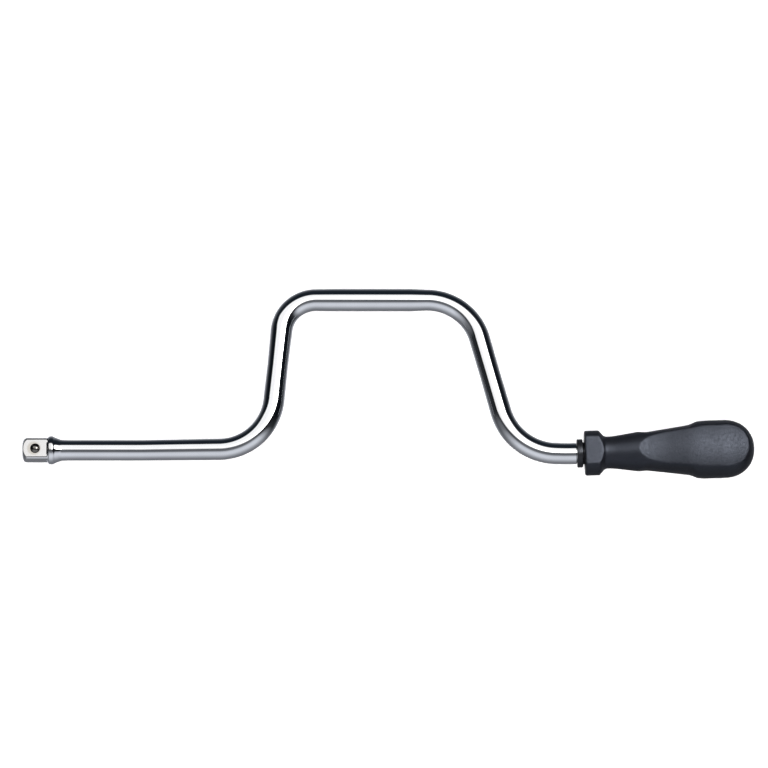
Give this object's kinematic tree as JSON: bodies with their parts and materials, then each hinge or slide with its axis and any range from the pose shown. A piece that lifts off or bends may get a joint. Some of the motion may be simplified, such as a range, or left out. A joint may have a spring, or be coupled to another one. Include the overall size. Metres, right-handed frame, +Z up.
{
  "type": "speed brace",
  "caption": "Hand speed brace: a chrome bar bent into a crank, with a male square drive with a sprung ball at one end and a free-spinning moulded handle at the other.",
  "frame": {"origin": "centre of the square drive's end face, on the turning axis", "axes": "+X along the drive's turning axis towards the handle, +Y the way the crank is offset, +Z up from the plane the tool lies in"},
  "size_m": [0.4321, 0.1134, 0.0264],
  "materials": {
    "chrome": "bright chrome plate, polished",
    "ball_steel": "hardened steel, polished",
    "spring_steel": "spring steel, plain",
    "washer_steel": "steel, plain",
    "black_acetal": "moulded acetal, slightly glossy",
    "handle_black": "moulded plastic, fine satin grain"
  },
  "bodies": {
    "crank": {"crank_bar": "chrome", "detent_spring": "spring_steel", "thrust_washer": "washer_steel", "retaining_ring": "spring_steel"},
    "detent": {"detent_ball": "ball_steel"},
    "handle": {"handle_grip": "handle_black", "front_bush": "black_acetal", "rear_bush": "black_acetal", "end_disc": "washer_steel"}
  },
  "joints": [
    {"name": "handle_spin", "type": "hinge", "parent": "crank", "child": "handle", "pos_m": [0.33187, -0.00178, 0], "axis": [0.9995, 0.0314, 0], "continuous": true},
    {"name": "detent_press", "type": "slide", "parent": "crank", "child": "detent", "axis": [0, 0, 1], "range_m": [-0.0012, 0], "stiffness_N_per_m": 8000, "springref_m": 0.001, "deforming": ["detent_spring"]}
  ]
}
